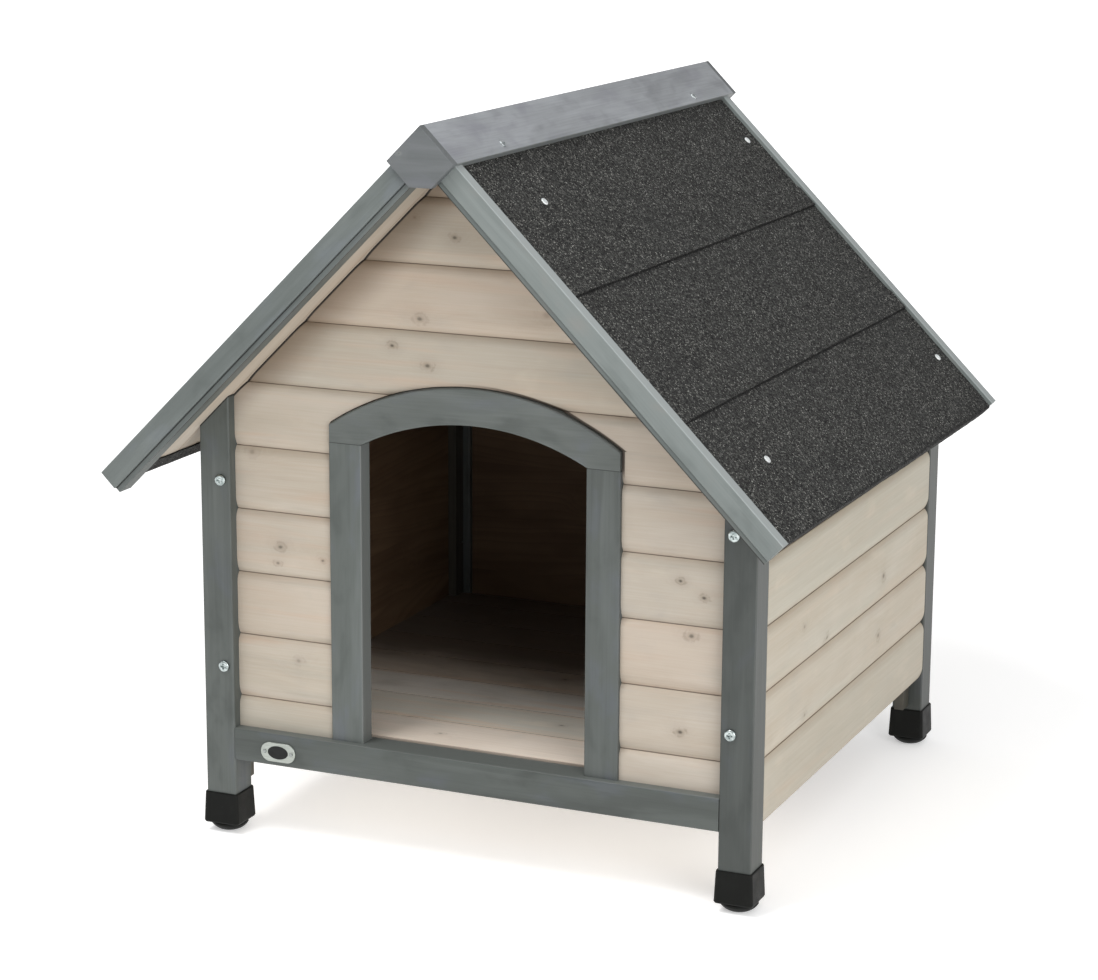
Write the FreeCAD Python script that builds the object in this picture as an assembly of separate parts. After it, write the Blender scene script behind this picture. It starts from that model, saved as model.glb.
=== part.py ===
import FreeCAD, Part
import math
import os
from FreeCAD import Vector as V, Placement, Rotation

# Saddle-roof kennel. Millimetres, +Z up, door towards -Y, origin on the ground
# under the middle of the roof's length and width. Heights are drawn from a level
# GROUND mm under the ground, and the output lowers every shape by that much.
GROUND = 2.8

# ---------------------------------------------------------------- body
BODY_W = 596.0            # over the outer faces of the posts
FRONT = -271.0            # front face of the front posts
BACK = 333.0              # back face of the back posts
POST = 34.0               # square post section
POST_R = 2.0              # planed edge of the posts
FOOT_H = 46.0             # rim of the foot cap
RAIL_Z0, RAIL_Z1 = 84.0, 118.0
HW = BODY_W / 2
PI = HW - POST            # inner side face of a post

# ---------------------------------------------------------------- boards
BOARD_T = 15.0
PITCH = 65.7              # height of one board
SEAM0 = 149.5             # first full seam above the rail
LOW_D, LOW_H = 4.8, 14.8  # depth and height of the rounding along a board's lower edge
HIGH_D, HIGH_H = 4.0, 9.6 # and along its upper edge
LAP = 5.0                 # rebate that laps the board below
END_REC = 12.0            # front and back boards lie this far behind the posts
SIDE_REC = 0.4            # side boards lie this far inside the posts

# ---------------------------------------------------------------- door
OPEN_HW = 120.5           # half width of the doorway
JAMB_HW = 156.0           # outer edge of the jambs
TRIM_Y = FRONT + 8.0      # front face of jambs and arch
JAMB_TOP = 426.2
ARCH_HW = 155.3
ARCH_END_Z = 445.1
ARCH_TOP = 493.0
ARCH_IN_TOP = 456.0

# ---------------------------------------------------------------- roof
PEAK = 753.0              # line where the verge tops would meet
SLOPE_L = 502.0           # length of a verge board down the slope
VERGE_T = 15.0
VERGE_H = 21.4
VERGE_Y0 = -366.0
VERGE_Y1 = 356.0
FELT_T = 1.5
FELT_D = 4.0              # felt lies this far below the verge tops
DECK_D0 = FELT_D + FELT_T
DECK_D1 = 16.7
DECK_L = 499.5
DECK_N = 8
STRIP_D = 27.0            # underside of the strip under each verge
STRIP_IN = 3.0
STRIP_W = 21.0
SEAM1, SEAM2 = 204.7, 358.0
FELT_LAP = 25.0
FELT_TURN = 20.0          # felt turned under the eave
CAP_D0 = -3.2
CAP_S = 45.3
CAP_Y = 366.0
RIDGE_Y = 375.0
C = math.sqrt(0.5)

DECK_Y0 = VERGE_Y0 + VERGE_T
DECK_Y1 = VERGE_Y1 - VERGE_T


def box(x0, x1, y0, y1, z0, z1):
    return Part.makeBox(x1 - x0, y1 - y0, z1 - z0, V(x0, y0, z0))


def prism(points, direction):
    """Closed polygon of vectors, swept along direction."""
    wire = Part.makePolygon([V(*p) for p in points] + [V(*points[0])])
    return Part.Face(wire).extrude(V(*direction))


def rounded(shape, radius, wanted):
    """Rounds the edges for which wanted(edge) holds."""
    edges = [e for e in shape.Edges if wanted(e)]
    return shape.makeFillet(radius, edges) if edges else shape


def along(e, axis, length=1.0):
    a, b = e.Vertexes[0].Point, e.Vertexes[-1].Point
    d = b.sub(a)
    if d.Length < length:
        return False
    return abs(abs(d.dot(V(*axis))) / d.Length - 1) < 1e-6


def solids(shape):
    return list(shape.Solids)


def mirror_x(shape):
    return shape.mirror(V(0, 0, 0), V(1, 0, 0))


# Local frame of the right slope: s down the slope, y along the ridge,
# d measured inwards from the plane of the verge tops.
SLOPE = Placement(V(0, 0, PEAK), Rotation(V(0, 1, 0), 45))
RIGHT_HALF = box(0, 500, -500, 500, 0, 900)


def slope_bar(s0, s1, y0, y1, d0, d1, edge=0.0, clip=True):
    b = box(s0, s1, y0, y1, -d1, -d0)
    if edge:
        b = rounded(b, edge, lambda e: along(e, (1, 0, 0), 20))
    b.Placement = SLOPE
    b = b.copy()
    return b.common(RIGHT_HALF) if clip else b


def slope_point(s, y, d):
    return V((s - d) * C, y, PEAK - (s + d) * C)


# Everything below the underside of the roof boards.
def under_roof(d):
    drop = d / C
    return prism([(-420, -500, PEAK - 420 - drop), (0, -500, PEAK - drop),
                  (420, -500, PEAK - 420 - drop), (420, -500, -10), (-420, -500, -10)],
                 (0, 1000, 0))


UNDER = under_roof(DECK_D1)


def board_face(z0, z1, lap_low, lap_high, round_low=True, round_high=True):
    """Section of a lapped wall board in the (depth, z) plane: outer face at
    depth 0, inner face at depth BOARD_T. Returns a function that maps it."""
    m = BOARD_T / 2
    lo = LAP if lap_low else 0.0
    hi = LAP if lap_high else 0.0

    def half_way(depth, height):
        """Middle of an arc that leaves the face tangentially and falls back by
        depth over height: (depth, height along the face) from its start."""
        r = (depth * depth + height * height) / (2 * depth)
        t = math.asin(height / r) / 2
        return r - r * math.cos(t), r * math.sin(t)

    low_mid, high_mid = half_way(LOW_D, LOW_H), half_way(HIGH_D, HIGH_H)

    def make(to3):
        e = []

        def line(a, b):
            if (a[0] - b[0]) ** 2 + (a[1] - b[1]) ** 2 > 1e-9:
                e.append(Part.makeLine(to3(*a), to3(*b)))

        def arc(a, mid, b):
            e.append(Part.Arc(to3(*a), to3(*mid), to3(*b)).toShape())

        if round_low:
            a, b = (LOW_D, z0), (0.0, z0 + LOW_H)
            arc(a, (low_mid[0], z0 + LOW_H - low_mid[1]), b)
        else:
            a = b = (0.0, z0)
        if round_high:
            c, d = (0.0, z1 - HIGH_H), (HIGH_D, z1)
            line(b, c)
            arc(c, (high_mid[0], z1 - HIGH_H + high_mid[1]), d)
        else:
            c = d = (0.0, z1)
            line(b, c)
        line(d, (m, z1))
        line((m, z1), (m, z1 + hi))
        line((m, z1 + hi), (BOARD_T, z1 + hi))
        line((BOARD_T, z1 + hi), (BOARD_T, z0 + lo))
        line((BOARD_T, z0 + lo), (m, z0 + lo))
        line((m, z0 + lo), (m, z0))
        line((m, z0), a)
        return Part.Face(Part.Wire(Part.__sortEdges__(e)))
    return make


def board_x(z0, z1, x0, x1, outer_y, sign, **kw):
    """Board running left to right; sign is the direction of its inside."""
    f = board_face(z0, z1, **kw)(lambda t, z: V(x0, outer_y + sign * t, z))
    return f.extrude(V(x1 - x0, 0, 0))


def board_y(z0, z1, y0, y1, outer_x, sign, **kw):
    f = board_face(z0, z1, **kw)(lambda t, z: V(outer_x + sign * t, y0, z))
    return f.extrude(V(0, y1 - y0, 0))


parts = {}

# ================================================================ screws
# Each screw is (head centre, inward axis, shank length).
HEAD_R, HEAD_T, SHANK_R = 6.0, 2.8, 2.0


def screw(at, axis, length, head_r=HEAD_R, head_t=HEAD_T):
    a = V(*axis)
    a.normalize()
    z = V(0, 0, 1)
    # pan head: flat cylinder with a rounded crown and a cross recess
    head = Part.makeCylinder(head_r, head_t, V(0, 0, 0), z)
    head = rounded(head, head_t * 0.62,
                   lambda e: abs(e.BoundBox.ZMin - head_t) < 1e-6 and abs(e.BoundBox.ZMax - head_t) < 1e-6)
    w = head_r * 0.16
    for q in (box(-head_r * 0.5, head_r * 0.5, -w, w, head_t * 0.35, head_t + 1),
              box(-w, w, -head_r * 0.5, head_r * 0.5, head_t * 0.35, head_t + 1)):
        head = head.cut(q)
    tip = min(8.0, length / 3)
    shank = Part.makeCylinder(SHANK_R, length - tip, V(0, 0, -(length - tip)), z)
    point = Part.makeCone(0.4, SHANK_R, tip, V(0, 0, -length), z)
    s = head.fuse([shank, point]).removeSplitter()
    s.Placement = Placement(V(*at), Rotation(V(0, 0, -1), a))
    return s.copy()


def pilot(at, axis, length):
    a = V(*axis)
    a.normalize()
    tip = min(8.0, length / 3)
    z = V(0, 0, 1)
    h = Part.makeCylinder(SHANK_R, length - tip, V(0, 0, -(length - tip)), z)
    h = h.fuse(Part.makeCone(0.4, SHANK_R, tip, V(0, 0, -length), z))
    h.Placement = Placement(V(*at), Rotation(V(0, 0, -1), a))
    return h.copy()


POST_SCREW_X, POST_SCREW_Z = 274.5, (183.0, 378.0)
post_screws, post_pilots = [], []
for sx in (-1, 1):
    for z in POST_SCREW_Z:
        for y, d in ((FRONT, 1), (BACK, -1)):
            post_screws.append(screw((sx * POST_SCREW_X, y, z), (0, d, 0), 50))
            post_pilots.append(pilot((sx * POST_SCREW_X, y, z), (0, d, 0), 50))

END_Y0 = FRONT + END_REC              # outer face of the front boards
END_Y1 = BACK - END_REC               # outer face of the back boards
SCREW_YF = END_Y0 + BOARD_T / 2
SCREW_YB = END_Y1 - BOARD_T / 2
roof_screws, roof_pilots = [], []
for s in (70.5 / C + FELT_D, 298.0 / C + FELT_D):
    for y in (SCREW_YF, SCREW_YB):
        p = slope_point(s, y, FELT_D)
        for sx in (1, -1):
            at = (sx * p.x, p.y, p.z)
            ax = (-sx, 0, -1)
            roof_screws.append(screw(at, ax, 45, 4.0, 1.5))
            roof_pilots.append(pilot(at, ax, 45))

ridge_screws, ridge_pilots = [], []
for y in (-253.0, 253.0):
    p = slope_point(28.0 / C + CAP_D0, y, CAP_D0)
    for sx in (1, -1):
        at = (sx * p.x, p.y, p.z)
        ax = (-sx, 0, -1)
        ridge_screws.append(screw(at, ax, 19, 4.0, 1.5))
        ridge_pilots.append(pilot(at, ax, 19))


def drilled(shape, holes):
    b = shape.BoundBox
    near = [h for h in holes if b.intersect(h.BoundBox)]
    return shape.cut(near) if near else shape


# ================================================================ feet
CAP_Z0, CAP_FLOOR = 13.0, 18.0
STUD_R, BORE_R, BORE_TOP = 4.0, 4.08, 56.0
GLIDE_R, GLIDE_TOP, STUD_TOP = 19.0, 12.7, 42.0


def post(cx, cy):
    h = POST / 2
    b = rounded(box(cx - h, cx + h, cy - h, cy + h, CAP_FLOOR, 520), POST_R,
                lambda e: along(e, (0, 0, 1), 100))
    b = b.common(UNDER)
    return b.cut(Part.makeCylinder(BORE_R, BORE_TOP - CAP_FLOOR, V(cx, cy, CAP_FLOOR), V(0, 0, 1)))


def rounded_square(cx, cy, half, r, z):
    e = []
    k = math.sqrt(0.5)
    pts = [(-1, -1), (1, -1), (1, 1), (-1, 1)]
    for i, (a, b) in enumerate(pts):
        na, nb = pts[(i + 1) % 4]
        px, py = cx + a * (half - r), cy + b * (half - r)
        # corner arc centred on (px, py)
        prev = {0: (-1, 0), 1: (0, -1), 2: (1, 0), 3: (0, 1)}[i]
        nxt = {0: (0, -1), 1: (1, 0), 2: (0, 1), 3: (-1, 0)}[i]
        s = V(px + prev[0] * r, py + prev[1] * r, z)
        m = V(px + a * r * k, py + b * r * k, z)
        t = V(px + nxt[0] * r, py + nxt[1] * r, z)
        e.append(Part.Arc(s, m, t).toShape())
        qx, qy = cx + na * (half - r), cy + nb * (half - r)
        e.append(Part.makeLine(t, V(qx + nxt[0] * r, qy + nxt[1] * r, z)))
    return Part.Wire(Part.__sortEdges__(e))


def foot_cap(cx, cy):
    body = Part.makeLoft([rounded_square(cx, cy, 19.4, 3.4, CAP_Z0),
                          rounded_square(cx, cy, 20.2, 3.6, CAP_Z0 + 1.6),
                          rounded_square(cx, cy, 18.8, 3.0, FOOT_H - 1.0),
                          rounded_square(cx, cy, 18.3, 2.6, FOOT_H)], True, True)
    h = POST / 2
    pocket = rounded(box(cx - h, cx + h, cy - h, cy + h, CAP_FLOOR, FOOT_H + 5), POST_R,
                     lambda e: along(e, (0, 0, 1), 10))
    hole = Part.makeCylinder(BORE_R, 20, V(cx, cy, CAP_Z0 - 5), V(0, 0, 1))
    return body.cut([pocket, hole])


def foot_glide(cx, cy):
    k, g = GLIDE_R, GROUND
    e = [Part.makeLine(V(0, 0, g), V(6.0, 0, g)),
         Part.Arc(V(6.0, 0, g), V(14.4, 0, g + 2.6), V(k, 0, g + 7.2)).toShape(),
         Part.makeLine(V(k, 0, g + 7.2), V(k, 0, GLIDE_TOP - 1.0)),
         Part.makeLine(V(k, 0, GLIDE_TOP - 1.0), V(k - 1.0, 0, GLIDE_TOP)),
         Part.makeLine(V(k - 1.0, 0, GLIDE_TOP), V(STUD_R, 0, GLIDE_TOP)),
         Part.makeLine(V(STUD_R, 0, GLIDE_TOP), V(STUD_R, 0, STUD_TOP - 1.0)),
         Part.makeLine(V(STUD_R, 0, STUD_TOP - 1.0), V(STUD_R - 1.0, 0, STUD_TOP)),
         Part.makeLine(V(STUD_R - 1.0, 0, STUD_TOP), V(0, 0, STUD_TOP)),
         Part.makeLine(V(0, 0, STUD_TOP), V(0, 0, g))]
    face = Part.Face(Part.Wire(e))
    s = face.revolve(V(0, 0, 0), V(0, 0, 1), 360)
    s = Part.makeSolid(s) if s.ShapeType != "Solid" else s
    s.translate(V(cx, cy, 0))
    return s


PX = HW - POST / 2
for name, cx, cy in (("front_left", -PX, FRONT + POST / 2), ("front_right", PX, FRONT + POST / 2),
                     ("back_left", -PX, BACK - POST / 2), ("back_right", PX, BACK - POST / 2)):
    parts["post_" + name] = drilled(post(cx, cy), post_pilots + roof_pilots)
    parts["foot_cap_" + name] = foot_cap(cx, cy)
    parts["foot_glide_" + name] = foot_glide(cx, cy)

# ================================================================ rails
PLATE_X, PLATE_Z = -213.4, 98.7
RIVET_DX = 15.2


def rail(y0, y1):
    return rounded(box(-PI, PI, y0, y1, RAIL_Z0, RAIL_Z1), 1.8, lambda e: along(e, (1, 0, 0), 100))


rivet_holes = [Part.makeCylinder(1.0, 9, V(PLATE_X + dx, FRONT - 3, PLATE_Z), V(0, 1, 0))
               for dx in (-RIVET_DX, RIVET_DX)]
parts["front_base_rail"] = rail(FRONT, FRONT + POST).cut(rivet_holes)
parts["back_base_rail"] = rail(BACK - POST, BACK)

# ================================================================ door frame
def jamb(x0, x1):
    return rounded(box(x0, x1, TRIM_Y, END_Y0 + BOARD_T, RAIL_Z1, JAMB_TOP), 1.6,
                   lambda e: along(e, (0, 0, 1), 100) and e.BoundBox.YMax < TRIM_Y + 0.1)


parts["door_jamb_left"] = jamb(-JAMB_HW, -OPEN_HW)
parts["door_jamb_right"] = jamb(OPEN_HW, JAMB_HW)


def arch_face(hw, end_z, top, in_hw, in_top, low, y):
    e = [Part.Arc(V(-hw, y, end_z), V(0, y, top), V(hw, y, end_z)).toShape(),
         Part.makeLine(V(hw, y, end_z), V(hw, y, low)),
         Part.makeLine(V(hw, y, low), V(in_hw, y, low)),
         Part.Arc(V(in_hw, y, low), V(0, y, in_top), V(-in_hw, y, low)).toShape(),
         Part.makeLine(V(-in_hw, y, low), V(-hw, y, low)),
         Part.makeLine(V(-hw, y, low), V(-hw, y, end_z))]
    return Part.Face(Part.Wire(e))


arch = arch_face(ARCH_HW, ARCH_END_Z, ARCH_TOP, OPEN_HW, ARCH_IN_TOP, JAMB_TOP, TRIM_Y).extrude(
    V(0, END_Y0 + BOARD_T - TRIM_Y, 0))
parts["door_arch"] = rounded(arch, 1.6, lambda e: e.BoundBox.YMax < TRIM_Y + 0.1
                             and e.BoundBox.XLength > 100)

# cut-out of the boards round the frame, with a narrow shadow gap over the arch
GAP = 0.8
e = [Part.Arc(V(-JAMB_HW, -300, ARCH_END_Z + GAP), V(0, -300, ARCH_TOP + GAP),
              V(JAMB_HW, -300, ARCH_END_Z + GAP)).toShape(),
     Part.makeLine(V(JAMB_HW, -300, ARCH_END_Z + GAP), V(JAMB_HW, -300, 60)),
     Part.makeLine(V(JAMB_HW, -300, 60), V(-JAMB_HW, -300, 60)),
     Part.makeLine(V(-JAMB_HW, -300, 60), V(-JAMB_HW, -300, ARCH_END_Z + GAP))]
DOOR_CUT = Part.Face(Part.Wire(e)).extrude(V(0, 100, 0))

# ================================================================ end walls
rows = [(RAIL_Z1, SEAM0)] + [(SEAM0 + k * PITCH, SEAM0 + (k + 1) * PITCH) for k in range(9)]
TOP = PEAK - DECK_D1 / C


def end_wall(outer_y, sign):
    low, gable = [], []
    for i, (z0, z1) in enumerate(rows):
        last = z1 + LAP > TOP
        b = board_x(z0, min(z1, TOP + 10), -PI, PI, outer_y, sign,
                    lap_low=i > 0, lap_high=not last, round_low=i > 0, round_high=not last)
        b = b.common(UNDER)
        (low if i < 6 else gable).append(b)
    return low, gable


low, gable = end_wall(END_Y0, 1)
left, right = [], []
for b in low:
    for s in solids(b.cut(DOOR_CUT)):
        (left if s.CenterOfMass.x < 0 else right).append(s)
parts["front_boards_left"] = left
parts["front_boards_right"] = right
parts["front_gable_boards"] = [s for b in gable for s in solids(drilled(b.cut(DOOR_CUT), roof_pilots))]
low, gable = end_wall(END_Y1, -1)
parts["back_boards"] = [s for b in low for s in solids(b)]
parts["back_gable_boards"] = [s for b in gable for s in solids(drilled(b, roof_pilots))]

# battens behind the gable boards, under the roof boards
GB_D = DECK_D1 + 20.0
for name, y0, y1 in (("front", END_Y0 + BOARD_T, END_Y0 + BOARD_T + 20),
                     ("back", END_Y1 - BOARD_T - 20, END_Y1 - BOARD_T)):
    r = slope_bar(0, 460, y0, y1, DECK_D1, GB_D).common(box(0, PI, -500, 500, 0, 900))
    parts[name + "_gable_battens"] = [drilled(s, roof_pilots) for s in (r, mirror_x(r))]

# ================================================================ side walls
SIDE_Y0, SIDE_Y1 = FRONT + POST, BACK - POST
SX = HW - SIDE_REC                    # outer face of the side boards
side_rows = [(SEAM0 + k * PITCH, SEAM0 + (k + 1) * PITCH) for k in range(-1, 5)]
side = []
for i, (z0, z1) in enumerate(side_rows):
    last = i == len(side_rows) - 1
    b = board_y(z0, z1, SIDE_Y0, SIDE_Y1, SX, -1, lap_low=i > 0, lap_high=not last,
                round_low=True, round_high=not last).common(UNDER)
    side += solids(b)
parts["right_wall_boards"] = side
parts["left_wall_boards"] = [mirror_x(s) for s in side]

BAT_T, BAT_W, BAT_Z0 = 10.0, 20.0, 50.5
BX1 = SX - BOARD_T
BX0 = BX1 - BAT_T
battens = {}
for end, y0, y1 in (("front", SIDE_Y0, SIDE_Y0 + BAT_W), ("back", SIDE_Y1 - BAT_W, SIDE_Y1)):
    b = drilled(box(BX0, BX1, y0, y1, BAT_Z0, 520).common(UNDER), post_pilots + roof_pilots)
    battens["right_wall_batten_" + end] = b
    battens["left_wall_batten_" + end] = drilled(
        box(-BX1, -BX0, y0, y1, BAT_Z0, 520).common(UNDER), post_pilots + roof_pilots)
parts.update(battens)

# ================================================================ floor
FLOOR_T, FLOOR_Z1, FLOOR_W = 12.0, 120.0, 70.0
fx = BX1 - 0.2
floor, y = [], SIDE_Y0
while y < SIDE_Y1 - 1:
    y1 = min(y + FLOOR_W, SIDE_Y1)
    b = rounded(box(-fx, fx, y, y1, FLOOR_Z1 - FLOOR_T, FLOOR_Z1), 1.2,
                lambda e: along(e, (1, 0, 0), 100) and e.BoundBox.ZMin > FLOOR_Z1 - 0.1)
    floor += solids(b.cut(list(battens.values())))
    y = y1
parts["floor_boards"] = floor
bz0, bz1 = FLOOR_Z1 - FLOOR_T - 20, FLOOR_Z1 - FLOOR_T
parts["floor_bearers"] = [box(BX1 - 20, BX1, SIDE_Y0 + BAT_W, SIDE_Y1 - BAT_W, bz0, bz1),
                          box(-10, 10, SIDE_Y0, SIDE_Y1, bz0, bz1),
                          box(-BX1, -(BX1 - 20), SIDE_Y0 + BAT_W, SIDE_Y1 - BAT_W, bz0, bz1)]

# ================================================================ roof boards
roof, w = [], (DECK_Y1 - DECK_Y0) / DECK_N
for i in range(DECK_N):
    y0 = DECK_Y0 + i * w
    b = slope_bar(0, DECK_L, y0, y0 + w, DECK_D0, DECK_D1)
    roof.append(drilled(b, roof_pilots + ridge_pilots))
parts["roof_boards_right"] = roof
parts["roof_boards_left"] = [mirror_x(s) for s in roof]

# battens across the roof boards, inside the cabin
RB_Y0, RB_Y1 = END_Y0 + BOARD_T + 20, END_Y1 - BOARD_T - 20
rb = [slope_bar(s, s + 30, RB_Y0, RB_Y1, DECK_D1, DECK_D1 + 12) for s in (60.0, 370.0)]
parts["roof_battens_right"] = rb
parts["roof_battens_left"] = [mirror_x(s) for s in rb]

# ridge cap first, because the verge boards are let in under it
cap = slope_bar(-20, CAP_S, -CAP_Y, CAP_Y, CAP_D0, FELT_D)
cap = rounded(cap, 0.8, lambda e: along(e, (0, 1, 0), 100) and e.BoundBox.XMin > 25)
parts["ridge_cap_right"] = drilled(cap, ridge_pilots)
parts["ridge_cap_left"] = mirror_x(parts["ridge_cap_right"])
ridge_z = PEAK - CAP_D0 / C
vx = (CAP_S - CAP_D0) * C
vz = PEAK - (CAP_S + CAP_D0) * C
low_hw = 11.2
for name, y0, y1 in (("ridge_end_front", -RIDGE_Y, -CAP_Y), ("ridge_end_back", CAP_Y, RIDGE_Y)):
    p = prism([(0, y0, ridge_z), (vx, y0, vz), (low_hw, y0, vz - (vx - low_hw)),
               (-low_hw, y0, vz - (vx - low_hw)), (-vx, y0, vz)], (0, y1 - y0, 0))
    edge_y = y0 if y0 < 0 else y1
    parts[name] = rounded(p, 1.0, lambda e: abs(e.BoundBox.YMin - edge_y) < 1e-3
                          and abs(e.BoundBox.YMax - edge_y) < 1e-3)

# verge boards and the strips under them
caps = [parts["ridge_cap_right"], parts["ridge_cap_left"]]
for end, y0, y1, sy0, sy1, sm in (
        ("front", VERGE_Y0, DECK_Y0, VERGE_Y0 + STRIP_IN, VERGE_Y0 + STRIP_IN + STRIP_W, DECK_Y0),
        ("back", DECK_Y1, VERGE_Y1, BACK, VERGE_Y1 - STRIP_IN, DECK_Y1)):
    v = slope_bar(-5, SLOPE_L, y0, y1, 0, VERGE_H, edge=1.4).cut(caps)
    v = max(v.Solids, key=lambda s: s.Volume)
    a, b = (sy0, sm) if end == "front" else (sm, sy1)
    c, d = (sm, sy1) if end == "front" else (sy0, sm)
    s = slope_bar(-5, SLOPE_L, a, b, VERGE_H, STRIP_D).fuse(
        slope_bar(-5, SLOPE_L, c, d, DECK_D1, STRIP_D)).removeSplitter()
    parts["verge_%s_right" % end] = v
    parts["verge_%s_left" % end] = mirror_x(v)
    parts["verge_strip_%s_right" % end] = s
    parts["verge_strip_%s_left" % end] = mirror_x(s)

# three lapped strips of roofing felt on each slope
def felt(pts, y0, y1):
    local = prism([(s, y0, -d) for s, d in pts], (0, y1 - y0, 0))
    local.Placement = SLOPE
    return local.copy().common(RIGHT_HALF)


D0, D1, DU = FELT_D, FELT_D + FELT_T, FELT_D - FELT_T
upper = felt([(-6, D0), (SEAM1 - FELT_LAP - 3, D0), (SEAM1 - FELT_LAP, DU), (SEAM1, DU), (SEAM1, D0),
              (SEAM1 - FELT_LAP, D0), (SEAM1 - FELT_LAP, D1), (-6, D1)], DECK_Y0, DECK_Y1)
middle = felt([(SEAM1 - FELT_LAP, D0), (SEAM2 - FELT_LAP - 3, D0), (SEAM2 - FELT_LAP, DU), (SEAM2, DU),
               (SEAM2, D0), (SEAM2 - FELT_LAP, D0), (SEAM2 - FELT_LAP, D1), (SEAM1 - FELT_LAP, D1)],
              DECK_Y0, DECK_Y1)
E = DECK_L
lower = felt([(SEAM2 - FELT_LAP, D0), (E + FELT_T, D0), (E + FELT_T, DECK_D1), (E, DECK_D1),
              (E, D1), (SEAM2 - FELT_LAP, D1)], DECK_Y0, DECK_Y1)
turn = felt([(E - FELT_TURN, DECK_D1), (E + FELT_T, DECK_D1), (E + FELT_T, DECK_D1 + FELT_T),
             (E - FELT_TURN, DECK_D1 + FELT_T)],
            VERGE_Y0 + STRIP_IN + STRIP_W, BACK)
lower = lower.fuse(turn).removeSplitter()
for name, f in (("upper", upper), ("middle", middle), ("lower", lower)):
    f = drilled(f, roof_pilots + ridge_pilots)
    parts["felt_%s_right" % name] = f
    parts["felt_%s_left" % name] = mirror_x(f)

# ================================================================ plate
PL_L, PL_H, PL_T = 39.4, 20.4, 1.4
r = PL_H / 2
y = FRONT - PL_T
e = [Part.makeLine(V(PLATE_X - PL_L / 2 + r, y, PLATE_Z - r), V(PLATE_X + PL_L / 2 - r, y, PLATE_Z - r)),
     Part.Arc(V(PLATE_X + PL_L / 2 - r, y, PLATE_Z - r), V(PLATE_X + PL_L / 2, y, PLATE_Z),
              V(PLATE_X + PL_L / 2 - r, y, PLATE_Z + r)).toShape(),
     Part.makeLine(V(PLATE_X + PL_L / 2 - r, y, PLATE_Z + r), V(PLATE_X - PL_L / 2 + r, y, PLATE_Z + r)),
     Part.Arc(V(PLATE_X - PL_L / 2 + r, y, PLATE_Z + r), V(PLATE_X - PL_L / 2, y, PLATE_Z),
              V(PLATE_X - PL_L / 2 + r, y, PLATE_Z - r)).toShape()]
plate = Part.Face(Part.Wire(e)).extrude(V(0, PL_T, 0))
plate = rounded(plate, 0.5, lambda e: e.BoundBox.YMax < y + 0.01)
parts["name_plate"] = plate.cut(rivet_holes)
rivets = []
for dx in (-RIVET_DX, RIVET_DX):
    c = V(PLATE_X + dx, FRONT - PL_T - 1.0, PLATE_Z)
    head = Part.makeCylinder(2.0, 1.0, c, V(0, 1, 0))
    head = rounded(head, 0.6, lambda e: e.BoundBox.YMax < c.y + 0.01 and e.BoundBox.XLength > 1)
    rivets.append(head.fuse(Part.makeCylinder(1.0, 6.9, c, V(0, 1, 0))).removeSplitter())
parts["plate_rivets"] = rivets

parts["post_screws"] = post_screws
parts["roof_screws"] = roof_screws
parts["ridge_screws"] = ridge_screws

# ================================================================ output
os.makedirs("parts", exist_ok=True)
for name, shape in parts.items():
    if isinstance(shape, list):
        shape = Part.makeCompound([s for x in shape for s in x.Solids])
    elif len(shape.Solids) == 1:
        shape = shape.Solids[0]
    shape = shape.copy()
    shape.translate(V(0, 0, -GROUND))
    shape.exportStep("parts/%s.step" % name)
    bb = shape.BoundBox
    print("%-28s solids %2d  valid %s  x %.1f %.1f  y %.1f %.1f  z %.1f %.1f" % (
        name, len(shape.Solids), shape.isValid(), bb.XMin, bb.XMax, bb.YMin, bb.YMax, bb.ZMin, bb.ZMax))
print(len(parts), "parts")
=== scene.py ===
import math

import bpy
import bmesh
import numpy as np
from mathutils import Matrix, Vector, noise


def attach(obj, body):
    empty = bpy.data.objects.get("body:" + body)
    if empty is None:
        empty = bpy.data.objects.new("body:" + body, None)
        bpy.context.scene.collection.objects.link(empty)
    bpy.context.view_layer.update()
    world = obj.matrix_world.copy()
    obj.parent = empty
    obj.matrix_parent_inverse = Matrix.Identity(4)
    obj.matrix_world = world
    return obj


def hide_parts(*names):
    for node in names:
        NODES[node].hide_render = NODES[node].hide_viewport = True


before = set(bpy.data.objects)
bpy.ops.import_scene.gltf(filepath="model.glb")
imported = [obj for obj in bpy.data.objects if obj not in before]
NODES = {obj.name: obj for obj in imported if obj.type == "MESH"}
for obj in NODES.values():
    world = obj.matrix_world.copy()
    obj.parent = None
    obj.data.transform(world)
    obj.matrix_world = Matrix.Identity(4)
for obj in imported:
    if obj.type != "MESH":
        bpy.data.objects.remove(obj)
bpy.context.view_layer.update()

scene = bpy.context.scene
MM = 0.001
C45 = math.sqrt(0.5)
GROUND = 2.8          # mm: heights below are drawn from a level this far under the ground

# ------------------------------------------------------------------ camera
PHOTO_W, PHOTO_H = 1098, 980
cam_data = bpy.data.cameras.new("camera")
cam = bpy.data.objects.new("camera", cam_data)
scene.collection.objects.link(cam)
az, el, roll = math.radians(23.423), math.radians(-13.277), math.radians(0.334)
fwd = Vector((-math.sin(az) * math.cos(el), math.cos(az) * math.cos(el), math.sin(el)))
right = Vector((math.cos(az), math.sin(az), 0.0))
up = right.cross(fwd)
cam_x = math.cos(roll) * right + math.sin(roll) * up
cam_y = -math.sin(roll) * right + math.cos(roll) * up
m = Matrix((cam_x, cam_y, -fwd)).transposed().to_4x4()
m.translation = Vector((1.17508, -2.78615, 1.05013 - GROUND * MM))
cam.matrix_world = m
cam_data.sensor_fit = "HORIZONTAL"
cam_data.sensor_width = 36.0
cam_data.lens = 2944.41 * 36.0 / PHOTO_W
cam_data.clip_start, cam_data.clip_end = 0.05, 200.0
scene.camera = cam

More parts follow.
